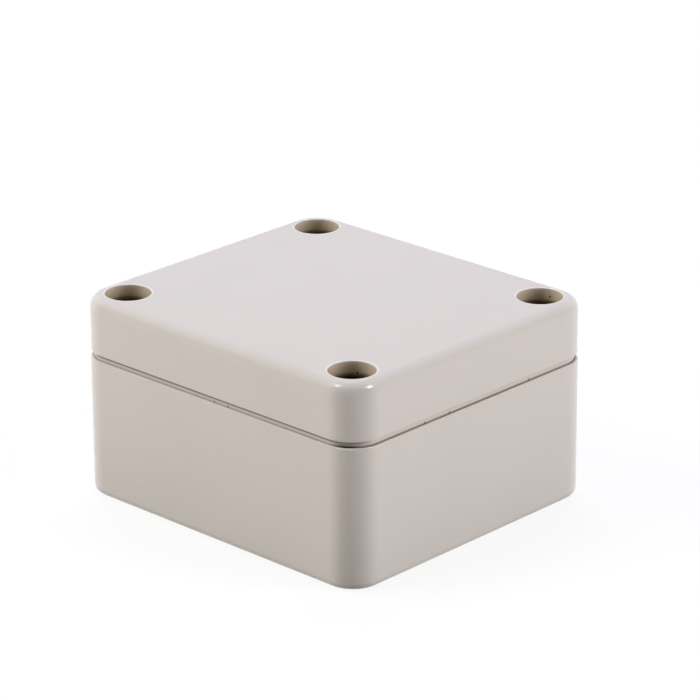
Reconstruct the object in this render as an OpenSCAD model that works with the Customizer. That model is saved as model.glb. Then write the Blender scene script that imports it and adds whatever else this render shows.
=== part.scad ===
// Sealed junction box: a moulded base and a lid held down by four screws, with a gasket between them.
// Origin at the centre of the underside, +X along the length, +Z up, millimetres.

/* [Overall size] */
// Length of the closed box, along X
box_l = 63; // [56:0.5:120]
// Width of the closed box, along Y
box_w = 57; // [50:0.5:100]
// Height of the closed box
box_h = 35; // [33:0.5:80]
// Height of the base up to its rim
base_h = 24.3; // [20:0.1:26]

/* [Outer form] */
// Radius of the lid's upright corners
corner_r = 5.7; // [4:0.1:8]
// Radius of the base's upright corners
base_corner_r = 5.3; // [4:0.1:8]
// Rounding of the lid's top edge
top_edge_r = 2.1; // [0.5:0.1:2.2]
// Rounding of the base's bottom edge
bottom_edge_r = 1.4; // [0.4:0.1:2]
// Rounding of the base's rim, on the outside
rim_edge_r = 0.3; // [0.1:0.05:0.5]
// Rounding of the lid's lower edge
lid_edge_r = 0.2; // [0.1:0.05:0.3]
// How far the lid stands out over the base on each side
lid_overhang = 0.05; // [0:0.05:0.3]

/* [Seam] */
// Open gap between the base's rim and the lid
seam_gap = 0.1; // [0.05:0.05:0.4]
// Height of the shadow step round the lid's lower edge
step_h = 0.9; // [0.4:0.05:1.2]
// Depth of the shadow step
step_d = 0.45; // [0.2:0.05:0.7]

/* [Walls] */
// Side wall of the base
wall_t = 2.6; // [2.4:0.1:3.4]
// Floor of the base
floor_t = 2.6; // [1.6:0.1:4]
// Top plate of the lid
lid_top_t = 2.6; // [1.6:0.1:3.5]

/* [Screw columns] */
// Distance of the screw axes from the sides of the lid
screw_inset = 6.15; // [6:0.05:7]
// Radius of a column about its screw axis
column_r = 5.6; // [5.2:0.1:6.4]
// Fillet between a column and the wall
column_fillet_r = 2; // [1.6:0.1:2.6]
// Radius of the raised pad on a column, on which the lid seats
pad_r = 3.4; // [3:0.1:3.8]

/* [Seal] */
// Thickness of the tongue on the base's rim
tongue_t = 1; // [0.8:0.05:1.2]
// Height of the tongue above the rim
tongue_h = 1; // [0.6:0.1:1.6]
// Clearance on each side of the tongue in the lid's groove
groove_clear = 0.25; // [0.15:0.05:0.3]
// Height of the gasket when the lid is down
gasket_t = 1; // [0.6:0.1:1.4]
// Room on each side of the gasket in its groove
gasket_clear = 0.1; // [0.05:0.05:0.3]
// Thickness of the lid's inner rib
rib_t = 1; // [0.8:0.05:1.3]
// How far the inner rib reaches down into the base
rib_drop = 1.2; // [0.5:0.1:3]

/* [Screw wells] */
// Radius of a screw well in the lid
well_r = 3.85; // [3.4:0.05:4.1]
// Rounding of a well's upper edge
well_edge_r = 0.15; // [0.1:0.05:0.4]
// Plastic between the gasket groove and the floor of a well
well_web_t = 1; // [0.8:0.1:2]
// Radius of the screw hole in the floor of a well
screw_hole_r = 1.75; // [1.7:0.05:2]

/* [Screws] */
// Radius of the screw over its thread
screw_r = 1.5; // [1.4:0.05:1.6]
// Length of the screw under its head
screw_l = 12; // [10:0.5:16]
// Radius of the pan head
head_r = 2.8; // [2.5:0.05:3]
// Height of the pan head
head_h = 2.2; // [1.8:0.1:2.6]
// Height of the head's upright edge
head_edge_h = 1.1; // [0.8:0.1:1.4]
// Span of the cross recess
recess_span = 3; // [2.4:0.1:3.4]
// Width of the recess's arms
recess_w = 0.8; // [0.5:0.05:1]
// Depth of the recess
recess_d = 1.3; // [0.8:0.1:1.6]
// Chamfer on the screw's tip
tip_chamfer = 0.4; // [0.2:0.1:0.8]

/* [Inserts] */
// Radius of a threaded insert over its knurls
insert_r = 2.3; // [2.1:0.05:2.5]
// Length of an insert
insert_l = 6; // [4:0.5:7]
// Depth of an insert's top below its pad
insert_sink = 0.1; // [0.05:0.05:0.3]
// Depth of the groove between an insert's two knurled bands
insert_groove_d = 0.3; // [0.1:0.05:0.4]
// Width of that groove
insert_groove_w = 1.2; // [0.8:0.1:2]
// Room between an insert and its pocket
insert_clear = 0.02; // [0.01:0.01:0.05]
// Running clearance between a screw and an insert
thread_clear = 0.08; // [0.04:0.01:0.1]
// Free depth of the column's hole under the screw's tip
tip_room = 1; // [0.5:0.5:2]

/* [Board standoffs] */
// Spacing of the board screws along X
board_pitch_x = 44; // [30:1:46]
// Spacing of the board screws along Y
board_pitch_y = 24; // [14:1:25]
// Height of a standoff above the floor
standoff_h = 4; // [3:0.5:8]
// Radius of a standoff
standoff_r = 2.6; // [2.2:0.1:3]
// Radius of the pilot hole for a board screw
pilot_r = 1.1; // [0.9:0.05:1.3]
// Web of plastic under a pilot hole, above the floor
pilot_web_t = 0.5; // [0.3:0.1:1]
// Size of the sloped foot round a standoff
foot_size = 0.8; // [0.4:0.1:1.2]

/* [Hidden] */
$fn = 96;
housing_grey = [0.80, 0.77, 0.74];
seal_grey = [0.16, 0.16, 0.17];
insert_brass = [0.78, 0.62, 0.32];
screw_steel = [0.72, 0.72, 0.72];

// Half sizes of the lid, of the base and of the chamber
lid_x = box_l / 2;
lid_y = box_w / 2;
base_x = lid_x - lid_overhang;
base_y = lid_y - lid_overhang;
chamber_x = base_x - wall_t;
chamber_y = base_y - wall_t;

// Heights, from the underside up
lid_z = base_h + seam_gap;
rib_z = lid_z - rib_drop;
tongue_z = base_h + tongue_h;
groove_z = tongue_z + gasket_t;
well_z = groove_z + well_web_t;
ceiling_z = box_h - lid_top_t;
insert_z = lid_z - insert_sink - insert_l;
tip_z = well_z - screw_l;

// The seal's parts, measured outwards from the chamber's wall
groove_out = tongue_t + groove_clear;
rib_out = -groove_clear;
cavity_out = rib_out - rib_t;

// Screw axes
screw_x = lid_x - screw_inset;
screw_y = lid_y - screw_inset;

// Spare depth of a cut past the face that it opens
cut_past = 1;

// Places its children at the four points (x, y), (-x, y), (-x, -y) and (x, -y)
module at_four(x, y) {
    for (side_x = [-1, 1], side_y = [-1, 1])
        translate([side_x * x, side_y * y, 0])
            children();
}

// Half of a block's section: w wide, h high, its outer corners rounded below and above
module edge_section(w, h, low_r, high_r) {
    square([w - low_r, h / 2]);
    translate([0, h / 2])
        square([w - high_r, h / 2]);
    translate([0, low_r])
        square([w, h - low_r - high_r]);
    translate([w - low_r, low_r])
        circle(low_r);
    translate([w - high_r, h - high_r])
        circle(high_r);
}

// Block with upright corners of one radius; the child is the section that is swept round its edge
module rounded_block(half_x, half_y, corner, h) {
    core_x = half_x - corner;
    core_y = half_y - corner;
    translate([-core_x, -core_y, 0])
        cube([2 * core_x, 2 * core_y, h]);
    for (turn = [0 : 3]) {
        out = turn % 2 == 0 ? core_x : core_y;
        along = turn % 2 == 0 ? core_y : core_x;
        rotate([0, 0, 90 * turn])
            translate([out, along, 0]) {
                rotate([90, 0, 0])
                    linear_extrude(2 * along)
                        children();
                rotate_extrude(angle = 90)
                    children();
            }
    }
}

// Plan of one screw column, in the corner +X +Y: round about its axis, with straight flanks to the walls
module column_plan(grow) {
    r = column_r - grow;
    translate([screw_x, screw_y]) {
        circle(r);
        translate([-r, 0])
            square([r + lid_x, lid_y]);
        translate([0, -r])
            square([lid_x, r + lid_y]);
    }
}

// Fillet in the corner between a wall and a column, as what fills the sharp corner
module corner_fill(r) {
    translate([-r, -r])
        difference() {
            square(r + cut_past);
            circle(r);
        }
}

// Plan of the chamber inside the walls and columns, moved outwards by grow
module chamber_plan(grow) {
    fillet_r = column_fillet_r + grow;
    difference() {
        square([2 * (chamber_x + grow), 2 * (chamber_y + grow)], center = true);
        for (flip_x = [0, 1], flip_y = [0, 1])
            mirror([flip_x, 0])
                mirror([0, flip_y]) {
                    column_plan(grow);
                    translate([chamber_x + grow, screw_y - column_r + grow])
                        corner_fill(fillet_r);
                    translate([screw_x - column_r + grow, chamber_y + grow])
                        corner_fill(fillet_r);
                }
    }
}

// Standoff for a circuit board, with a sloped foot, from inside the floor up
module standoff() {
    translate([0, 0, floor_t - foot_size])
        cylinder(h = standoff_h + foot_size, r = standoff_r);
    translate([0, 0, floor_t - foot_size])
        cylinder(h = 2 * foot_size, r1 = standoff_r + 2 * foot_size, r2 = standoff_r);
}

// Hollow of the base, open at the top, with the standoffs left standing in it
module base_hollow() {
    difference() {
        translate([0, 0, floor_t])
            linear_extrude(tongue_z + cut_past - floor_t)
                chamber_plan(0);
        at_four(board_pitch_x / 2, board_pitch_y / 2)
            standoff();
    }
}

// Stepped hole of a column: a pocket for the insert, and room for the screw's tip under it
module column_hole() {
    hole_z = tip_z - tip_room;
    translate([0, 0, insert_z])
        cylinder(h = lid_z + cut_past - insert_z, r = insert_r + insert_clear);
    translate([0, 0, hole_z])
        cylinder(h = insert_z + cut_past - hole_z, r = screw_r + thread_clear);
}

module base() {
    color(housing_grey)
        difference() {
            union() {
                rounded_block(base_x, base_y, base_corner_r, base_h)
                    edge_section(base_corner_r, base_h, bottom_edge_r, rim_edge_r);
                translate([0, 0, floor_t])
                    linear_extrude(tongue_z - floor_t)
                        chamber_plan(tongue_t);
                at_four(screw_x, screw_y)
                    translate([0, 0, floor_t])
                        cylinder(h = lid_z - floor_t, r = pad_r);
            }
            base_hollow();
            at_four(screw_x, screw_y)
                column_hole();
            at_four(board_pitch_x / 2, board_pitch_y / 2)
                translate([0, 0, floor_t + pilot_web_t])
                    cylinder(h = standoff_h + cut_past, r = pilot_r);
        }
}

// Section of a screw well: a straight bore with a rounded upper edge
module well_section() {
    depth = box_h - well_z;
    square([well_r, depth + cut_past]);
    translate([well_r, depth - well_edge_r])
        difference() {
            square([well_edge_r, well_edge_r + cut_past]);
            translate([well_edge_r, 0])
                circle(well_edge_r);
        }
}

// Outer form of the lid: the rounded cover over the narrower band of the shadow step
module lid_form() {
    cover_z = lid_z + step_h;
    cover_h = box_h - cover_z;
    translate([0, 0, cover_z])
        rounded_block(lid_x, lid_y, corner_r, cover_h)
            edge_section(corner_r, cover_h, lid_edge_r, top_edge_r);
    translate([0, 0, lid_z])
        rounded_block(lid_x - step_d, lid_y - step_d, corner_r - step_d, 2 * step_h)
            square([corner_r - step_d, 2 * step_h]);
}

module lid() {
    color(housing_grey)
        difference() {
            union() {
                difference() {
                    lid_form();
                    translate([0, 0, lid_z - cut_past])
                        linear_extrude(groove_z - lid_z + cut_past)
                            chamber_plan(groove_out);
                }
                translate([0, 0, rib_z])
                    linear_extrude(well_z - rib_z)
                        chamber_plan(rib_out);
            }
            translate([0, 0, rib_z - cut_past])
                linear_extrude(ceiling_z - rib_z + cut_past)
                    chamber_plan(cavity_out);
            at_four(screw_x, screw_y) {
                translate([0, 0, well_z])
                    rotate_extrude()
                        well_section();
                translate([0, 0, lid_z - cut_past])
                    cylinder(h = well_z - lid_z + 2 * cut_past, r = screw_hole_r);
            }
        }
}

module gasket() {
    color(seal_grey)
        translate([0, 0, tongue_z])
            linear_extrude(gasket_t)
                difference() {
                    chamber_plan(groove_out - gasket_clear);
                    chamber_plan(rib_out + gasket_clear);
                }
}

module threaded_inserts() {
    groove_r = insert_r - insert_groove_d;
    color(insert_brass)
        at_four(screw_x, screw_y)
            translate([0, 0, insert_z])
                difference() {
                    cylinder(h = insert_l, r = insert_r);
                    translate([0, 0, -cut_past])
                        cylinder(h = insert_l + 2 * cut_past, r = screw_r + thread_clear);
                    translate([0, 0, (insert_l - insert_groove_w) / 2])
                        rotate_extrude()
                            translate([groove_r, 0])
                                square([insert_groove_d + cut_past, insert_groove_w]);
                }
}

// Half section of a screw about its axis, with the underside of its head at height 0
module screw_section() {
    rise = head_h - head_edge_h;
    dome_r = (head_r * head_r + rise * rise) / (2 * rise);
    polygon([
        [0, -screw_l],
        [screw_r - tip_chamfer, -screw_l],
        [screw_r, tip_chamfer - screw_l],
        [screw_r, 0],
        [screw_r, head_edge_h / 2],
        [0, head_edge_h / 2]
    ]);
    intersection() {
        square([head_r, head_h]);
        translate([0, head_h - dome_r])
            circle(dome_r);
    }
}

// Pan-head screw with a cross recess, seated in the lid's well on the side (side_x, side_y)
module lid_screw(side_x, side_y) {
    color(screw_steel)
        translate([side_x * screw_x, side_y * screw_y, well_z])
            difference() {
                rotate_extrude()
                    screw_section();
                for (turn = [0, 90])
                    rotate([0, 0, turn])
                        translate([-recess_span / 2, -recess_w / 2, head_h - recess_d])
                            cube([recess_span, recess_w, recess_d + cut_past]);
            }
}

base();
lid();
gasket();
threaded_inserts();
lid_screw(-1, -1);  // lid_screw_front_left
lid_screw(1, -1);  // lid_screw_front_right
lid_screw(-1, 1);  // lid_screw_back_left
lid_screw(1, 1);  // lid_screw_back_right
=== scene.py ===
"""Looks of a small sealed junction box: moulded base and lid, seal strip, brass inserts and lid screws."""

import math

import bpy
from mathutils import Euler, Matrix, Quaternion, Vector


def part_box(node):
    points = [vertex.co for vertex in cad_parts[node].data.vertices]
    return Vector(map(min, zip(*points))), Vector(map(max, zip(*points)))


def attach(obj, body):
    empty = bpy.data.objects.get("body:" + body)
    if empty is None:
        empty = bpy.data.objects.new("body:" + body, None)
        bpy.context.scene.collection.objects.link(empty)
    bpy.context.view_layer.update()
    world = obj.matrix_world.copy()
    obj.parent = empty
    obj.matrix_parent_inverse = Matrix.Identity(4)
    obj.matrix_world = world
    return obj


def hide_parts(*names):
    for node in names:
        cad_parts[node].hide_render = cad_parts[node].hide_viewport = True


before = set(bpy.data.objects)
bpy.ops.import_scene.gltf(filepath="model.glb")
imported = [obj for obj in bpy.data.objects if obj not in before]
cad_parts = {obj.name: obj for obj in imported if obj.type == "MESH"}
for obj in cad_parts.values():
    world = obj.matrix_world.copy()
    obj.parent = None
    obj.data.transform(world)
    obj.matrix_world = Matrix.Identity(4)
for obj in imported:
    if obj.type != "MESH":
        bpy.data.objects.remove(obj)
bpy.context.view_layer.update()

MM = 0.001

# Corners of the box, by the ends of the names of the screws in them
CORNERS = ("front_left", "front_right", "back_left", "back_right")

# Screw: what its node's box doesn't tell
SCREW_LENGTH = 12 * MM
SHANK_RADIUS = 1.5 * MM
HEAD_EDGE = 1.1 * MM
HEAD_EDGE_ROUND = 0.25 * MM
TIP_CHAMFER = 0.4 * MM
THREAD_PITCH = 0.5 * MM
THREAD_DEPTH = 0.27 * MM
THREAD_START = 0.9 * MM
RECESS_SPAN = 3.0 * MM
RECESS_WIDTH = 0.8 * MM
RECESS_DEPTH = 1.3 * MM
RECESS_TAPER = 0.45

# Thread: it is at full depth this many times as far down as it starts; its crest ends and its root begins
# this far, in turns, from the middle of the crest
THREAD_RUN_IN = 1.6
THREAD_CREST = 0.12
THREAD_ROOT = 0.42

# How far the middle of the recess's blocks lies below the head's top, as a share of their depth: a little
# less than half, so that they stand clear of it
RECESS_SINK = 0.49

# Insert: two knurled bands with a groove between them
INSERT_BORE = 1.58 * MM
INSERT_CHAMFER = 0.3 * MM
INSERT_GROOVE_DEPTH = 0.3 * MM
INSERT_GROOVE_WIDTH = 1.2 * MM
KNURL_DEPTH = 0.16 * MM
KNURL_COUNT = 30
KNURL_LEAN = 0.5 / MM

# Turned parts: how near a point is to count as on a face, how near two points are to become one, and the
# angle from which an edge is sharp
FACE_ROOM = 0.01 * MM
MERGE_WITHIN = 0.002 * MM
CREASE_ANGLE = math.radians(38)

# Screw wells in the lid: distance of their axes from the middle, radius and floor
SCREW_AXIS = (25.35 * MM, 22.35 * MM, 0)
WELL_RADIUS = 3.9 * MM
WELL_FLOOR = 27.2 * MM

# Painted shade laid in tones over each other down the wells, browning and then darkening to near black with
# depth: the heights at which each begins and is full, and its colour
WELL_SHADE_TONES = (
    (35.2 * MM, 34.3 * MM, (0.575, 0.47, 0.33, 1)),
    (33.2 * MM, 32.7 * MM, (0.37, 0.27, 0.15, 1)),
    (33.0 * MM, 32.15 * MM, (0.012, 0.005, 0.001, 1)),
)

# Painted highlight on the rims of the wells: outer radius, foot, and the heights at which it would fade,
# both above the lid
RIM_RADIUS = 4.15 * MM
RIM_FOOT = 34.87 * MM
ABOVE_LID = (37 * MM, 36 * MM)
RIM_HIGHLIGHT_COLOUR = (0.74, 0.69, 0.65, 1)

# Outline of the box: half its sides less the corners, and the radius of the corners
STRAIGHT_HALF = (25.8 * MM, 22.8 * MM, 0)
CORNER_RADIUS = 5.7 * MM

# Groove under the lid's edge, where shade is painted: its top, the low and high end of the base's rim below
# it, how far inside the outline the painted shade lies on each of them, how deep it reaches, and how softly
# it ends
GROOVE_TOP = 25.6 * MM
BASE_RIM = (24.0 * MM, 24.66 * MM)
LID_INSET = 0.2 * MM
RIM_INSET = 0.3 * MM
SHADE_REACH = 0.8 * MM
SHADE_FADE = 0.12 * MM

# Dark specks: painted shade where the groove's slit opens, along the front and the right side, and specks of
# grime on the walls of two wells
SPECKS = (
    *[(along * MM, -28.05 * MM, 24.45 * MM) for along in (0.4, 3.5)],
    *[(31.05 * MM, along * MM, 24.5 * MM) for along in (-11.8, -6.0, 13.2)],
    (24.4 * MM, 26.1 * MM, 33.6 * MM),
    (23.4 * MM, -19.05 * MM, 33.0 * MM),
)
SPECK_RADIUS = 0.23 * MM
SHADE_AND_DIRT_SPECK_COLOUR = (0.09, 0.07, 0.05, 1)

# Middle of the closed box
BOX_MIDDLE = Vector((0, 0, 17.5)) * MM

# Camera of the photograph, whose frame is square; it is held a little flatter than it looks down
VIEW_AZIMUTH = 43.836
VIEW_ELEVATION = 21.983
VIEW_DISTANCE = 598 * MM
VIEW_TILT = 19.921
VIEW_ROLL = -0.383
VIEW_SHIFT = (0.02386, -0.1239)
LENS = 185.44
SENSOR = 36
NEAREST_SEEN = 10 * MM

# Floor: half its side, the grey that takes the shadow, the glow that makes it white, and the distances from
# the middle between which it goes from throwing little light up at the box to throwing more
FLOOR_HALF = 3.0
SHADOW_GREY = (0.14, 0.14, 0.14, 1)
FLOOR_GLOW = 0.87
NEAR_FLOOR, FAR_FLOOR = 45 * MM, 140 * MM
# Colours of the light the floor throws up, darker near the box: a painted shadow about its foot
NEAR_BOUNCE, FAR_BOUNCE = (0.30, 0.28, 0.25, 1), (0.62, 0.58, 0.52, 1)

# Surroundings in gloss: height of the brightest part behind the box, the cosines from it at which they are
# faintest and full, and how faint they get
BACKDROP_RISE = 30
BACKDROP_EDGE, BACKDROP_FULL = 0.1, 0.75
FAINTEST_GLOSS = 0.15

# Lamps: their distance from the box, the sides of soft lamps and of glints, and their colours
LAMP_DISTANCE = 1.2
LAMP_SIDE, GLINT_SIDE = 0.58, 0.36
WHITE = (1.0, 1.0, 1.0)
BACK_LIGHT = (0.97, 1.0, 1.34)
RIGHT_LIGHT = (1.0, 1.0, 1.04)


# Node trees

def node(tree, kind, ins=(), **settings):
    """Adds a node; ins gives its inputs by place or by name, each a socket to link or a value to set."""
    made = tree.nodes.new(kind)
    for key, value in settings.items():
        setattr(made, key, value)
    for key, value in ins.items() if isinstance(ins, dict) else enumerate(ins):
        if isinstance(value, bpy.types.NodeSocket):
            tree.links.new(value, made.inputs[key])
        else:
            made.inputs[key].default_value = value
    return made


def calc(tree, operation, *ins):
    """One sum on numbers."""
    return node(tree, "ShaderNodeMath", ins, operation=operation).outputs[0]


def ramp(tree, value, low, high, to_low=0.0, to_high=1.0):
    """Maps low..high to to_low..to_high, held at both ends."""
    return node(tree, "ShaderNodeMapRange", [value, low, high, to_low, to_high], clamp=True).outputs[0]


def new_tree(name, kind, inputs, outputs):
    """Makes a node tree with named sockets; gives it, its input sockets by name and its output node."""
    tree = bpy.data.node_groups.new(name, kind)
    for in_out, sockets in (("INPUT", inputs), ("OUTPUT", outputs)):
        for socket_name, socket_type in sockets.items():
            tree.interface.new_socket(socket_name, in_out=in_out, socket_type="NodeSocket" + socket_type)
    entry = tree.nodes.new("NodeGroupInput")
    return tree, {name: entry.outputs[name] for name in inputs}, tree.nodes.new("NodeGroupOutput")


# Surface effects that several finishes share

def make_mottle_group():
    """Slow, faint changes of tone over a surface, from 0 to 1."""
    tree, given, out = new_tree(
        "surface_mottle", "ShaderNodeTree", {"Scale": "Float", "Contrast": "Float"}, {"Tone": "Float"}
    )
    place = node(tree, "ShaderNodeTexCoord").outputs["Object"]
    clouds = node(tree, "ShaderNodeTexNoise", {"Vector": place, "Scale": given["Scale"], "Detail": 3.0})
    centred = calc(tree, "SUBTRACT", clouds.outputs["Fac"], 0.5)
    spread = calc(tree, "MULTIPLY_ADD", centred, given["Contrast"], 0.5)
    tree.links.new(node(tree, "ShaderNodeClamp", [spread]).outputs[0], out.inputs["Tone"])
    return tree


def make_grain_group():
    """Fine skin of a moulded or machined surface, as a height from 0 to 1."""
    tree, given, out = new_tree(
        "fine_grain", "ShaderNodeTree", {"Scale": "Float", "Stretch": "Vector"}, {"Height": "Float"}
    )
    place = node(tree, "ShaderNodeTexCoord").outputs["Object"]
    drawn = node(tree, "ShaderNodeVectorMath", [place, given["Stretch"]], operation="MULTIPLY").outputs[0]
    grain = node(tree, "ShaderNodeTexNoise", {"Vector": drawn, "Scale": given["Scale"], "Detail": 2.0})
    tree.links.new(grain.outputs["Fac"], out.inputs["Height"])
    return tree


def make_speck_group():
    """One round dark speck about a point, full out to half its radius, as a mask from 0 to 1."""
    tree, given, out = new_tree(
        "shade_and_dirt_speck", "ShaderNodeTree", {"Centre": "Vector", "Radius": "Float"}, {"Mask": "Float"}
    )
    place = node(tree, "ShaderNodeTexCoord").outputs["Object"]
    away = node(tree, "ShaderNodeVectorMath", [place, given["Centre"]], operation="DISTANCE")
    core = calc(tree, "MULTIPLY", given["Radius"], 0.5)
    faded = ramp(tree, away.outputs["Value"], core, given["Radius"], 1.0, 0.0)
    tree.links.new(faded, out.inputs["Mask"])
    return tree


def make_well_group():
    """Inside of the wells about the four screw axes: 0 at height Top, 1 from Bottom down to Floor."""
    tree, given, out = new_tree(
        "well_depth",
        "ShaderNodeTree",
        {"Axis": "Vector", "Radius": "Float", "Top": "Float", "Bottom": "Float", "Floor": "Float"},
        {"Mask": "Float"},
    )
    place = node(tree, "ShaderNodeTexCoord").outputs["Object"]
    folded = node(tree, "ShaderNodeVectorMath", [place], operation="ABSOLUTE").outputs[0]
    offset = node(tree, "ShaderNodeVectorMath", [folded, given["Axis"]], operation="SUBTRACT").outputs[0]
    flat = node(tree, "ShaderNodeVectorMath", [offset, (1, 1, 0)], operation="MULTIPLY").outputs[0]
    away = node(tree, "ShaderNodeVectorMath", [flat], operation="LENGTH").outputs["Value"]
    inside = calc(tree, "LESS_THAN", away, given["Radius"])
    height = node(tree, "ShaderNodeSeparateXYZ", [place]).outputs["Z"]
    deep = ramp(tree, height, given["Bottom"], given["Top"], 1.0, 0.0)
    above = calc(tree, "GREATER_THAN", height, given["Floor"])
    mask = calc(tree, "MULTIPLY", calc(tree, "MULTIPLY", inside, above), deep)
    tree.links.new(mask, out.inputs["Mask"])
    return tree


def make_groove_group():
    """A line of painted shade in the groove under the lid's edge, Inset to Reach inside the outline and Low
    to High.

    Along the outline it grows from Start to Rise and fades from Fall to End, all given as the way from a
    corner's middle: below 0 towards the long sides, above 0 towards the short ones. Left is its share at
    the left end of the box.
    """
    sizes = ("Corner", "Inset", "Reach", "Start", "Rise", "Fall", "End", "Low", "High", "Fade", "Left")
    inputs = {"Straight": "Vector"} | dict.fromkeys(sizes, "Float")
    tree, given, out = new_tree("groove_shade", "ShaderNodeTree", inputs, {"Mask": "Float"})
    place = node(tree, "ShaderNodeTexCoord").outputs["Object"]
    folded = node(tree, "ShaderNodeVectorMath", [place], operation="ABSOLUTE").outputs[0]
    straight = given["Straight"]
    beyond = node(tree, "ShaderNodeVectorMath", [folded, straight], operation="SUBTRACT").outputs[0]
    outside = node(tree, "ShaderNodeVectorMath", [beyond, (0, 0, 0)], operation="MAXIMUM").outputs[0]
    flat = node(tree, "ShaderNodeVectorMath", [outside, (1, 1, 0)], operation="MULTIPLY").outputs[0]
    away = node(tree, "ShaderNodeVectorMath", [flat], operation="LENGTH").outputs["Value"]
    inset = calc(tree, "SUBTRACT", given["Corner"], away)
    past_edge = calc(tree, "GREATER_THAN", inset, given["Inset"])
    in_groove = calc(tree, "MULTIPLY", past_edge, calc(tree, "LESS_THAN", inset, given["Reach"]))
    sides = node(tree, "ShaderNodeSeparateXYZ", [flat]).outputs
    way = calc(tree, "SUBTRACT", sides["X"], sides["Y"])
    grown_to = ramp(tree, way, given["Start"], given["Rise"])
    left_over = ramp(tree, way, given["Fall"], given["End"], 1.0, 0.0)
    where = node(tree, "ShaderNodeSeparateXYZ", [place]).outputs
    straight_x = node(tree, "ShaderNodeSeparateXYZ", [straight]).outputs["X"]
    left_end = calc(tree, "MULTIPLY", calc(tree, "ADD", straight_x, given["Corner"]), -1.0)
    shared = ramp(tree, where["X"], left_end, 0.0, given["Left"], 1.0)
    above = ramp(tree, where["Z"], given["Low"], calc(tree, "ADD", given["Low"], given["Fade"]))
    fade_start = calc(tree, "SUBTRACT", given["High"], given["Fade"])
    below = ramp(tree, where["Z"], fade_start, given["High"], 1.0, 0.0)
    mask = in_groove
    for share in (grown_to, left_over, shared, above, below):
        mask = calc(tree, "MULTIPLY", mask, share)
    tree.links.new(mask, out.inputs["Mask"])
    return tree


MOTTLE = make_mottle_group()
GRAIN = make_grain_group()
SPECK = make_speck_group()
WELL = make_well_group()
GROOVE = make_groove_group()


# Finishes

def new_material(name):
    """A material with an empty tree; returns it, its tree and its surface shader."""
    material = bpy.data.materials.new(name)
    material.use_nodes = True
    tree = material.node_tree
    tree.nodes.clear()
    shader = node(tree, "ShaderNodeBsdfPrincipled")
    node(tree, "ShaderNodeOutputMaterial", [shader.outputs[0]])
    return material, tree, shader


def effect(tree, group, **values):
    """Places a shared effect in a material and gives its output."""
    made = node(tree, "ShaderNodeGroup", node_tree=group)
    for name, value in values.items():
        made.inputs[name].default_value = value
    return made.outputs[0]


def two_tones(tree, mask, first, second):
    """Mixes two colours by a mask."""
    mix = node(tree, "ShaderNodeMix", {"Factor": mask, "A": first, "B": second}, data_type="RGBA")
    return mix.outputs["Result"]


def set_bump(tree, shader, height, depth):
    """Feeds a height to the shader's normal, with the real depth of its relief."""
    bump = node(tree, "ShaderNodeBump", {"Strength": 1.0, "Distance": depth, "Height": height})
    tree.links.new(bump.outputs[0], shader.inputs["Normal"])


def groove_line(tree, stretch, inset, low, high, left=1.0):
    """Mask of a line of painted shade; the stretch says, in mm, where it starts, is full, starts to fade and
    ends.
    """
    start, rise, fall, end = [way * MM for way in stretch]
    return effect(
        tree, GROOVE, Straight=STRAIGHT_HALF, Corner=CORNER_RADIUS, Inset=inset, Reach=SHADE_REACH,
        Start=start, Rise=rise, Fall=fall, End=end, Low=low, High=high, Fade=SHADE_FADE, Left=left,
    )


def with_well_shade(tree, colour):
    """Lays painted shade that browns and darkens down the wells, and a painted highlight on their rims, over
    a colour.
    """
    for top, bottom, tone in WELL_SHADE_TONES:
        depth = effect(
            tree, WELL, Axis=SCREW_AXIS, Radius=WELL_RADIUS, Floor=WELL_FLOOR, Top=top, Bottom=bottom
        )
        colour = two_tones(tree, depth, colour, tone)
    top, bottom = ABOVE_LID
    # Painted highlight: a paler ring on the rounded rims of the wells
    rims = effect(tree, WELL, Axis=SCREW_AXIS, Radius=RIM_RADIUS, Floor=RIM_FOOT, Top=top, Bottom=bottom)
    return two_tones(tree, rims, colour, RIM_HIGHLIGHT_COLOUR)


def with_groove_shade(tree, colour):
    """Lays painted shade in the groove over a colour: a dull band all round, then darker lines under the lid
    and on the rim.
    """
    all_round = (-9, -8, 2, 9)
    long_sides = (-9, -8, 0, 4)
    short_sides = (-5, -2.5, 8, 9)
    at_corner = (-5, -2.5, -0.5, 2.5)
    shaded_band = groove_line(tree, all_round, LID_INSET, low=24.3 * MM, high=GROOVE_TOP)
    under_edge = groove_line(tree, long_sides, LID_INSET, low=24.82 * MM, high=GROOVE_TOP)
    on_rim = groove_line(tree, short_sides, RIM_INSET, *BASE_RIM, left=0.0)
    round_corner = groove_line(tree, at_corner, LID_INSET, low=24.5 * MM, high=GROOVE_TOP, left=0.0)
    in_slit = groove_line(tree, at_corner, RIM_INSET, *BASE_RIM, left=0.0)
    # Colours of the painted shade in the groove, down to black in the slit at the corner
    for line, shade_tone in (
        (shaded_band, (0.49, 0.445, 0.395, 1)),
        (under_edge, (0.20, 0.172, 0.145, 1)),
        (on_rim, (0.36, 0.31, 0.27, 1)),
        (round_corner, (0.24, 0.195, 0.165, 1)),
        (in_slit, (0.05, 0.04, 0.03, 1)),
    ):
        colour = two_tones(tree, line, colour, shade_tone)
    return colour


def with_specks(tree, colour):
    """Lays the single dark specks over a colour: painted shade in the groove's slit and grime in two wells.
    """
    for centre in SPECKS:
        speck = effect(tree, SPECK, Centre=centre, Radius=SPECK_RADIUS)
        colour = two_tones(tree, speck, colour, SHADE_AND_DIRT_SPECK_COLOUR)
    return colour


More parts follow.
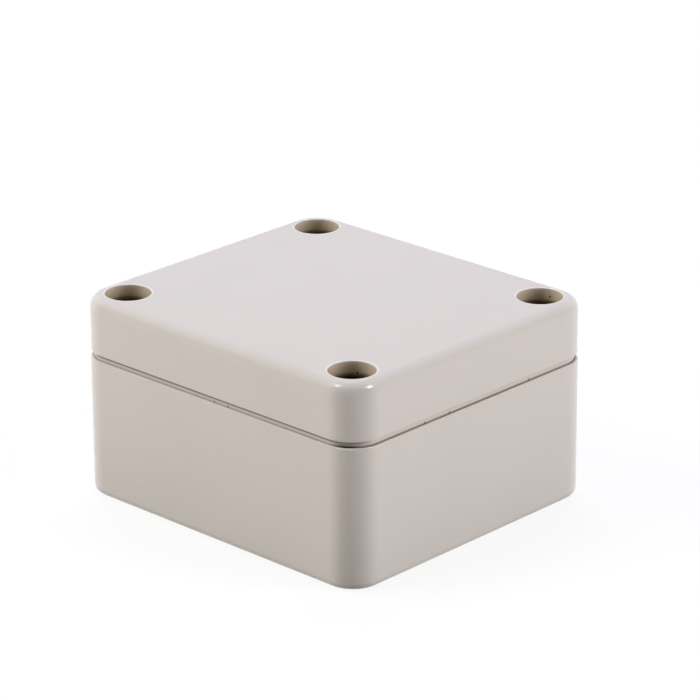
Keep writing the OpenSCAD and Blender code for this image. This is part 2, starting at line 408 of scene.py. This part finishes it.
def housing_plastic():
    """Pale warm-grey moulded plastic, semi-gloss, with painted shade down the wells and in the groove, a
    painted highlight on the wells' rims and a few dark specks.
    """
    material, tree, shader = new_material("housing_plastic")
    tone = effect(tree, MOTTLE, Scale=60.0, Contrast=1.4)
    plastic = two_tones(tree, tone, (0.600, 0.552, 0.500, 1), (0.622, 0.570, 0.520, 1))
    colour = with_specks(tree, with_groove_shade(tree, with_well_shade(tree, plastic)))
    tree.links.new(colour, shader.inputs["Base Color"])
    smears = effect(tree, MOTTLE, Scale=140.0, Contrast=2.0)
    tree.links.new(ramp(tree, smears, 0.0, 1.0, 0.15, 0.19), shader.inputs["Roughness"])
    set_bump(tree, shader, effect(tree, GRAIN, Scale=700.0, Stretch=(1, 1, 1)), 0.001 * MM)
    return material


def seal_rubber():
    """Matt dark seal strip with a soft open skin."""
    material, tree, shader = new_material("seal_rubber")
    tone = effect(tree, MOTTLE, Scale=400.0, Contrast=1.6)
    colour = two_tones(tree, tone, (0.026, 0.026, 0.028, 1), (0.045, 0.045, 0.047, 1))
    tree.links.new(colour, shader.inputs["Base Color"])
    tree.links.new(ramp(tree, tone, 0.0, 1.0, 0.62, 0.8), shader.inputs["Roughness"])
    set_bump(tree, shader, effect(tree, GRAIN, Scale=3000.0, Stretch=(1, 1, 1)), 0.02 * MM)
    return material


def metal(name, dark, light, rough_low, rough_high, grain_depth):
    """Machined metal: two close tones, uneven polish and fine rings of turning marks."""
    material, tree, shader = new_material(name)
    shader.inputs["Metallic"].default_value = 1.0
    tone = effect(tree, MOTTLE, Scale=900.0, Contrast=1.5)
    tree.links.new(two_tones(tree, tone, dark, light), shader.inputs["Base Color"])
    tree.links.new(ramp(tree, tone, 0.0, 1.0, rough_low, rough_high), shader.inputs["Roughness"])
    set_bump(tree, shader, effect(tree, GRAIN, Scale=1500.0, Stretch=(0.3, 0.3, 6.0)), grain_depth)
    return material


PLASTIC = housing_plastic()
RUBBER = seal_rubber()
BRASS = metal("insert_brass", (0.60, 0.42, 0.15, 1), (0.76, 0.56, 0.24, 1), 0.29, 0.42, 0.004 * MM)
STEEL = metal("screw_steel", (0.48, 0.48, 0.47, 1), (0.66, 0.66, 0.65, 1), 0.29, 0.42, 0.004 * MM)


def give_material(piece, material):
    """Makes this the only material of a piece."""
    piece.data.materials.clear()
    piece.data.materials.append(material)


for part in ("base", "lid"):
    give_material(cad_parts[part], PLASTIC)
give_material(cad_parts["gasket"], RUBBER)


# Turned parts: a section swept round an axis by a tree of nodes

def section_curve(name, points, closed):
    """Half section of a turned part, as (radius, height) points in the plane y = 0."""
    curve = bpy.data.curves.new(name, "CURVE")
    curve.dimensions = "3D"
    spline = curve.splines.new("POLY")
    spline.points.add(len(points) - 1)
    for point, (radius, height) in zip(spline.points, points):
        point.co = (radius, 0, height, 1)
    spline.use_cyclic_u = closed
    made = bpy.data.objects.new(name, curve)
    bpy.context.scene.collection.objects.link(made)
    return made


def arc(centre, radius, start, end, steps):
    """Points on an arc in a section; the angles are in degrees from the radius direction."""
    turns = [math.radians(start + (end - start) * k / steps) for k in range(steps + 1)]
    return [(centre[0] + radius * math.cos(t), centre[1] + radius * math.sin(t)) for t in turns]


def swept_grid(tree, section, rows, around):
    """A grid of rows along the section and columns round the axis, with its turn, radius and height."""
    grid = node(tree, "GeometryNodeMeshGrid", [1.0, 1.0, around, rows])
    place = node(tree, "ShaderNodeSeparateXYZ", [node(tree, "GeometryNodeInputPosition").outputs[0]])
    turn = calc(tree, "ADD", place.outputs["X"], 0.5)
    along = calc(tree, "ADD", place.outputs["Y"], 0.5)
    curve = node(tree, "GeometryNodeObjectInfo", {"Object": section}, transform_space="ORIGINAL")
    line = {"Curves": curve.outputs["Geometry"], "Factor": along}
    sample = node(tree, "GeometryNodeSampleCurve", line, mode="FACTOR")
    point = node(tree, "ShaderNodeSeparateXYZ", [sample.outputs["Position"]])
    return grid.outputs["Mesh"], turn, point.outputs["X"], point.outputs["Z"]


def swept_mesh(tree, grid, turn, radius, height):
    """Bends the grid round the axis at the given radius and height, and closes its seams and poles."""
    angle = calc(tree, "MULTIPLY", turn, math.tau)
    across = calc(tree, "MULTIPLY", radius, calc(tree, "COSINE", angle))
    deep = calc(tree, "MULTIPLY", radius, calc(tree, "SINE", angle))
    place = node(tree, "ShaderNodeCombineXYZ", [across, deep, height]).outputs[0]
    bent = node(tree, "GeometryNodeSetPosition", {"Geometry": grid, "Position": place})
    closed = {"Geometry": bent.outputs[0], "Distance": MERGE_WITHIN}
    return node(tree, "GeometryNodeMergeByDistance", closed).outputs[0]


def finish_tree(tree, out, mesh, points, material):
    """Puts the mesh on each point, makes it real and gives it its material."""
    smooth = node(tree, "GeometryNodeSetShadeSmooth", {"Geometry": mesh, "Shade Smooth": True})
    angle = node(tree, "GeometryNodeInputMeshEdgeAngle").outputs["Unsigned Angle"]
    sharp = calc(tree, "GREATER_THAN", angle, CREASE_ANGLE)
    creased = node(
        tree,
        "GeometryNodeSetShadeSmooth",
        {"Geometry": smooth.outputs[0], "Selection": sharp, "Shade Smooth": False},
        domain="EDGE",
    )
    placed = {"Points": points, "Instance": creased.outputs[0]}
    copies = node(tree, "GeometryNodeInstanceOnPoints", placed)
    real = node(tree, "GeometryNodeRealizeInstances", [copies.outputs[0]])
    painted = node(tree, "GeometryNodeSetMaterial", {"Geometry": real.outputs[0], "Material": material})
    tree.links.new(painted.outputs[0], out.inputs["Mesh"])


def thread_wave(tree, turn, height, pitch):
    """Where a point lies on a thread: 0 at the middle of a crest, 0.5 at the middle of a groove."""
    rise = calc(tree, "SUBTRACT", calc(tree, "DIVIDE", height, pitch), turn)
    return calc(tree, "ABSOLUTE", calc(tree, "SUBTRACT", calc(tree, "FRACT", rise), 0.5))


def threaded_radius(tree, given, turn, radius, height):
    """Radius of the screw with its thread cut in, from below the head to the tip."""
    wave = thread_wave(tree, turn, height, given["Pitch"])
    groove = ramp(tree, wave, THREAD_CREST, THREAD_ROOT)
    start = calc(tree, "SUBTRACT", 0.0, given["Thread Start"])
    full = calc(tree, "MULTIPLY", start, THREAD_RUN_IN)
    top_fade = ramp(tree, height, full, start, 1.0, 0.0)
    last_turn = calc(tree, "ADD", given["Thread End"], given["Pitch"])
    end_fade = ramp(tree, height, given["Thread End"], last_turn)
    cut = calc(tree, "MULTIPLY", calc(tree, "MULTIPLY", groove, top_fade), end_fade)
    depth = calc(tree, "MULTIPLY", cut, given["Thread Depth"])
    return calc(tree, "MAXIMUM", calc(tree, "SUBTRACT", radius, depth), 0.0)


def shrunk_below(tree, mesh, depth, share):
    """Narrows a block towards its lower end, to a share of its upper outline."""
    here = node(tree, "GeometryNodeInputPosition").outputs[0]
    place = node(tree, "ShaderNodeSeparateXYZ", [here]).outputs
    level = calc(tree, "ADD", calc(tree, "DIVIDE", place["Z"], depth), 0.5)
    scale = ramp(tree, level, 0.0, 1.0, share, 1.0)
    sides = [calc(tree, "MULTIPLY", place[side], scale) for side in ("X", "Y")]
    narrowed = node(tree, "ShaderNodeCombineXYZ", [*sides, place["Z"]]).outputs[0]
    return node(tree, "GeometryNodeSetPosition", {"Geometry": mesh, "Position": narrowed}).outputs[0]


def recess_arms(tree, given):
    """The two crossed blocks that cut the screw's recess, at their height in the head."""
    size = [given["Recess Span"], given["Recess Width"], given["Recess Depth"]]
    block = {"Size": node(tree, "ShaderNodeCombineXYZ", size).outputs[0]}
    across = node(tree, "GeometryNodeMeshCube", block).outputs["Mesh"]
    quarter = {"Geometry": across, "Rotation": (0, 0, math.pi / 2)}
    along = node(tree, "GeometryNodeTransform", quarter).outputs[0]
    sunk = calc(tree, "MULTIPLY", given["Recess Depth"], RECESS_SINK)
    lift = calc(tree, "SUBTRACT", given["Head Height"], sunk)
    shift = node(tree, "ShaderNodeCombineXYZ", [0.0, 0.0, lift]).outputs[0]
    arms = []
    for arm in (across, along):
        tapered = shrunk_below(tree, arm, given["Recess Depth"], given["Recess Taper"])
        placed = {"Geometry": tapered, "Translation": shift}
        arms.append(node(tree, "GeometryNodeTransform", placed).outputs[0])
    return arms


def make_screw_tree():
    """Pan-head screw with a real thread and a tapered cross recess; Seat is the point under its head."""
    numbers = (
        "Pitch", "Thread Depth", "Thread Start", "Thread End", "Head Height",
        "Recess Span", "Recess Width", "Recess Depth", "Recess Taper",
    )
    inputs = {"Section": "Object", "Seat": "Vector", "Material": "Material"}
    inputs |= dict.fromkeys(numbers, "Float")
    tree, given, out = new_tree("lid_screw", "GeometryNodeTree", inputs, {"Mesh": "Geometry"})
    grid, turn, radius, height = swept_grid(tree, given["Section"], rows=360, around=49)
    screw = swept_mesh(tree, grid, turn, threaded_radius(tree, given, turn, radius, height), height)
    cutter = node(tree, "GeometryNodeMeshBoolean", operation="DIFFERENCE", solver="MANIFOLD")
    tree.links.new(screw, cutter.inputs[0])
    for arm in recess_arms(tree, given):
        tree.links.new(arm, cutter.inputs[1])
    point = node(tree, "GeometryNodePoints", {"Count": 1, "Position": given["Seat"]}).outputs[0]
    finish_tree(tree, out, cutter.outputs[0], point, given["Material"])
    return tree


def make_insert_tree():
    """Threaded inserts with leaning knurls, one on each corner of a rectangle of screw axes."""
    numbers = (
        "Spacing X", "Spacing Y", "Foot", "Outer Radius", "Knurl Depth", "Knurl Count", "Knurl Lean",
        "Bore", "Pitch", "Thread Depth",
    )
    inputs = {"Section": "Object", "Material": "Material"} | dict.fromkeys(numbers, "Float")
    tree, given, out = new_tree("threaded_insert", "GeometryNodeTree", inputs, {"Mesh": "Geometry"})
    grid, turn, radius, height = swept_grid(tree, given["Section"], rows=91, around=121)
    lean = calc(tree, "MULTIPLY", height, given["Knurl Lean"])
    swing = calc(tree, "MULTIPLY_ADD", turn, given["Knurl Count"], lean)
    ripple = calc(tree, "COSINE", calc(tree, "MULTIPLY", swing, math.tau))
    knurl = calc(tree, "MULTIPLY_ADD", ripple, 0.5, 0.5)
    on_rim = calc(tree, "GREATER_THAN", radius, calc(tree, "SUBTRACT", given["Outer Radius"], FACE_ROOM))
    outside = calc(tree, "MULTIPLY", calc(tree, "MULTIPLY", knurl, on_rim), given["Knurl Depth"])
    groove = calc(tree, "MULTIPLY", thread_wave(tree, turn, height, given["Pitch"]), 2.0)
    in_bore = calc(tree, "LESS_THAN", radius, calc(tree, "ADD", given["Bore"], FACE_ROOM))
    inside = calc(tree, "MULTIPLY", calc(tree, "MULTIPLY", groove, in_bore), given["Thread Depth"])
    shaped = calc(tree, "ADD", calc(tree, "SUBTRACT", radius, outside), inside)
    insert = swept_mesh(tree, grid, turn, shaped, height)
    spacing = [given["Spacing X"], given["Spacing Y"]]
    corners = node(tree, "GeometryNodeMeshGrid", [*spacing, 2, 2]).outputs["Mesh"]
    foot = node(tree, "ShaderNodeCombineXYZ", [0.0, 0.0, given["Foot"]]).outputs[0]
    points = node(tree, "GeometryNodeTransform", {"Geometry": corners, "Translation": foot}).outputs[0]
    finish_tree(tree, out, insert, points, given["Material"])
    return tree


def grown(name, tree, values):
    """Runs a tree on an empty piece and keeps the result as a plain mesh."""
    piece = bpy.data.objects.new(name, bpy.data.meshes.new(name))
    bpy.context.scene.collection.objects.link(piece)
    modifier = piece.modifiers.new(name, "NODES")
    modifier.node_group = tree
    for item in tree.interface.items_tree:
        if item.in_out == "INPUT":
            modifier[item.identifier] = values[item.name]
    graph = bpy.context.evaluated_depsgraph_get()
    mesh = bpy.data.meshes.new_from_object(piece.evaluated_get(graph), depsgraph=graph)
    piece.modifiers.clear()
    # The first slot is the empty one of the piece that the tree started from
    mesh.materials.pop(index=0)
    piece.data = mesh
    return piece


def screw_section(head_radius, head_height):
    """Section of the screw from its tip to the top of its head, with the head's underside at height 0."""
    crown = head_height - HEAD_EDGE
    dome = (head_radius ** 2 + crown ** 2) / (2 * crown)
    span = math.degrees(math.asin(head_radius / dome))
    return section_curve("screw_section", [
        (0, -SCREW_LENGTH),
        (SHANK_RADIUS - TIP_CHAMFER, -SCREW_LENGTH),
        (SHANK_RADIUS, TIP_CHAMFER - SCREW_LENGTH),
        (SHANK_RADIUS, 0),
        *arc((head_radius - HEAD_EDGE_ROUND, HEAD_EDGE_ROUND), HEAD_EDGE_ROUND, -90, 0, steps=6),
        *arc((0, head_height - dome), dome, 90 - span, 90, steps=24),
    ], closed=False)


def insert_section(outer_radius, length):
    """Section of an insert: bore, chamfered ends and a groove round its middle; its foot is at height 0."""
    groove_low = (length - INSERT_GROOVE_WIDTH) / 2
    groove_high = groove_low + INSERT_GROOVE_WIDTH
    groove_radius = outer_radius - INSERT_GROOVE_DEPTH
    return section_curve("insert_section", [
        (INSERT_BORE, 0),
        (outer_radius - INSERT_CHAMFER, 0),
        (outer_radius, INSERT_CHAMFER),
        (outer_radius, groove_low),
        (groove_radius, groove_low),
        (groove_radius, groove_high),
        (outer_radius, groove_high),
        (outer_radius, length - INSERT_CHAMFER),
        (outer_radius - INSERT_CHAMFER, length),
        (INSERT_BORE + INSERT_CHAMFER, length),
        (INSERT_BORE, length - INSERT_CHAMFER),
        (INSERT_BORE, 0),
    ], closed=False)


def make_screws():
    """One detailed screw for each corner, where its node is."""
    tree = make_screw_tree()
    low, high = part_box("lid_screw_" + CORNERS[0])
    head_height = high.z - low.z - SCREW_LENGTH
    section = screw_section((high.x - low.x) / 2, head_height)
    for corner in CORNERS:
        low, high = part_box("lid_screw_" + corner)
        piece = grown("screw_" + corner, tree, {
            "Section": section,
            "Seat": ((low.x + high.x) / 2, (low.y + high.y) / 2, low.z + SCREW_LENGTH),
            "Pitch": THREAD_PITCH,
            "Thread Depth": THREAD_DEPTH,
            "Thread Start": THREAD_START,
            "Thread End": TIP_CHAMFER - SCREW_LENGTH,
            "Head Height": head_height,
            "Recess Span": RECESS_SPAN,
            "Recess Width": RECESS_WIDTH,
            "Recess Depth": RECESS_DEPTH,
            "Recess Taper": RECESS_TAPER,
            "Material": STEEL,
        })
        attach(piece, "screw_" + corner)
        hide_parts("lid_screw_" + corner)
    bpy.data.objects.remove(section)


def make_inserts():
    """The four brass inserts in the base's columns."""
    low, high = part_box("threaded_inserts")
    screw_low, screw_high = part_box("lid_screw_back_right")
    axis_x, axis_y = (screw_low.x + screw_high.x) / 2, (screw_low.y + screw_high.y) / 2
    outer_radius = high.x - axis_x
    section = insert_section(outer_radius, high.z - low.z)
    piece = grown("brass_inserts", make_insert_tree(), {
        "Section": section,
        "Spacing X": 2 * axis_x,
        "Spacing Y": 2 * axis_y,
        "Foot": low.z,
        "Outer Radius": outer_radius,
        "Knurl Depth": KNURL_DEPTH,
        "Knurl Count": KNURL_COUNT,
        "Knurl Lean": KNURL_LEAN,
        "Bore": INSERT_BORE,
        "Pitch": THREAD_PITCH,
        "Thread Depth": THREAD_DEPTH,
        "Material": BRASS,
    })
    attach(piece, "base")
    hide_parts("threaded_inserts")
    bpy.data.objects.remove(section)


make_screws()
make_inserts()


# Stage: floor, light and camera

def seen_directly(tree):
    """1 for rays from the camera, from gloss or through glass, 0 for the light that surfaces exchange."""
    path = node(tree, "ShaderNodeLightPath").outputs
    direct = calc(tree, "MAXIMUM", path["Is Camera Ray"], path["Is Glossy Ray"])
    return calc(tree, "MAXIMUM", direct, path["Is Transmission Ray"])


def make_floor():
    """White floor that throws light up at the box and shows only a faint shadow."""
    mesh = bpy.data.meshes.new("floor")
    corners = [(x * FLOOR_HALF, y * FLOOR_HALF, 0) for x, y in ((-1, -1), (1, -1), (1, 1), (-1, 1))]
    mesh.from_pydata(corners, [], [(0, 1, 2, 3)])
    floor = bpy.data.objects.new("floor", mesh)
    bpy.context.scene.collection.objects.link(floor)
    material = bpy.data.materials.new("floor_white")
    material.use_nodes = True
    tree = material.node_tree
    tree.nodes.clear()
    shadowed = node(tree, "ShaderNodeBsdfDiffuse", {"Color": SHADOW_GREY})
    glow = node(tree, "ShaderNodeEmission", {"Color": (1, 1, 1, 1), "Strength": FLOOR_GLOW})
    shown = node(tree, "ShaderNodeAddShader", [shadowed.outputs[0], glow.outputs[0]])
    place = node(tree, "ShaderNodeTexCoord").outputs["Object"]
    away = node(tree, "ShaderNodeVectorMath", [place], operation="LENGTH").outputs["Value"]
    # Painted shadow: the floor throws less light up near the box's foot
    open_floor = ramp(tree, away, NEAR_FLOOR, FAR_FLOOR)
    thrown = two_tones(tree, open_floor, NEAR_BOUNCE, FAR_BOUNCE)
    bounce = node(tree, "ShaderNodeBsdfDiffuse", {"Color": thrown})
    mixed = node(tree, "ShaderNodeMixShader", [seen_directly(tree), bounce.outputs[0], shown.outputs[0]])
    node(tree, "ShaderNodeOutputMaterial", [mixed.outputs[0]])
    give_material(floor, material)


def out_from_box(azimuth, elevation):
    """Direction from the box: azimuth 0 is to the front of its long side, 90 to its right."""
    turn, rise = math.radians(azimuth), math.radians(elevation)
    return Vector((math.sin(turn) * math.cos(rise), -math.cos(turn) * math.cos(rise), math.sin(rise)))


def around_box(azimuth, elevation, distance):
    """A point round the box, at a distance from its middle."""
    return BOX_MIDDLE + out_from_box(azimuth, elevation) * distance


def turn_to(thing, azimuth, elevation, roll=0.0):
    """Faces a lamp or the camera along the line that comes from that side and height."""
    facing = Euler((math.radians(90 - elevation), 0, math.radians(azimuth))).to_quaternion()
    thing.rotation_mode = "QUATERNION"
    thing.rotation_quaternion = facing @ Quaternion((0, 0, 1), math.radians(roll))


def make_lamp(name, azimuth, elevation, level, colour=WHITE, glint=False):
    """A soft square lamp; level is how bright a white card facing it gets. A glint shows only in gloss."""
    data = bpy.data.lights.new(name, "AREA")
    data.size = GLINT_SIDE if glint else LAMP_SIDE
    data.energy = level * (math.pi * LAMP_DISTANCE) ** 2
    data.color = colour
    lamp = bpy.data.objects.new(name, data)
    bpy.context.scene.collection.objects.link(lamp)
    lamp.location = around_box(azimuth, elevation, LAMP_DISTANCE)
    lamp.visible_camera = False
    lamp.visible_glossy = glint
    lamp.visible_diffuse = not glint
    turn_to(lamp, azimuth, elevation)


def make_world():
    """White surroundings that give no light; gloss shows them in full behind the box, fainter elsewhere."""
    world = bpy.data.worlds.new("studio")
    bpy.context.scene.world = world
    world.use_nodes = True
    tree = world.node_tree
    tree.nodes.clear()
    path = node(tree, "ShaderNodeLightPath").outputs
    way = node(tree, "ShaderNodeTexCoord").outputs["Generated"]
    behind = out_from_box(VIEW_AZIMUTH + 180, BACKDROP_RISE)
    facing = node(tree, "ShaderNodeVectorMath", [way, behind], operation="DOT_PRODUCT").outputs["Value"]
    gloss = ramp(tree, facing, BACKDROP_EDGE, BACKDROP_FULL, FAINTEST_GLOSS, 1.0)
    mirrored = calc(tree, "MULTIPLY", path["Is Glossy Ray"], gloss)
    seen = calc(tree, "MAXIMUM", path["Is Camera Ray"], path["Is Transmission Ray"])
    strength = calc(tree, "MAXIMUM", seen, mirrored)
    sky = node(tree, "ShaderNodeBackground", {"Color": (1, 1, 1, 1), "Strength": strength})
    node(tree, "ShaderNodeOutputWorld", [sky.outputs[0]])


def make_camera():
    """The camera, at the place and with the lens of the photograph."""
    data = bpy.data.cameras.new("camera")
    data.lens = LENS
    data.sensor_width = SENSOR
    data.clip_start = NEAREST_SEEN
    data.shift_x, data.shift_y = VIEW_SHIFT
    camera = bpy.data.objects.new("camera", data)
    bpy.context.scene.collection.objects.link(camera)
    camera.location = around_box(VIEW_AZIMUTH, VIEW_ELEVATION, VIEW_DISTANCE)
    turn_to(camera, VIEW_AZIMUTH, VIEW_TILT, VIEW_ROLL)
    bpy.context.scene.camera = camera


make_floor()
make_world()
make_lamp("back_high", azimuth=225, elevation=60, level=0.42, colour=BACK_LIGHT)
make_lamp("left_low", azimuth=-30, elevation=10, level=0.45)
make_lamp("left_middle", azimuth=-60, elevation=35, level=0.32)
make_lamp("left_front", azimuth=-30, elevation=35, level=0.23)
make_lamp("left_high", azimuth=-45, elevation=60, level=0.13)
make_lamp("right_low", azimuth=120, elevation=10, level=0.70, colour=RIGHT_LIGHT)
make_lamp("right_middle", azimuth=120, elevation=35, level=0.32, colour=RIGHT_LIGHT)
make_lamp("left_glint", azimuth=-30, elevation=56, level=0.26, glint=True)
make_lamp("right_glint", azimuth=113, elevation=43, level=0.48, glint=True)
make_camera()
bpy.context.scene.view_settings.view_transform = "Standard"
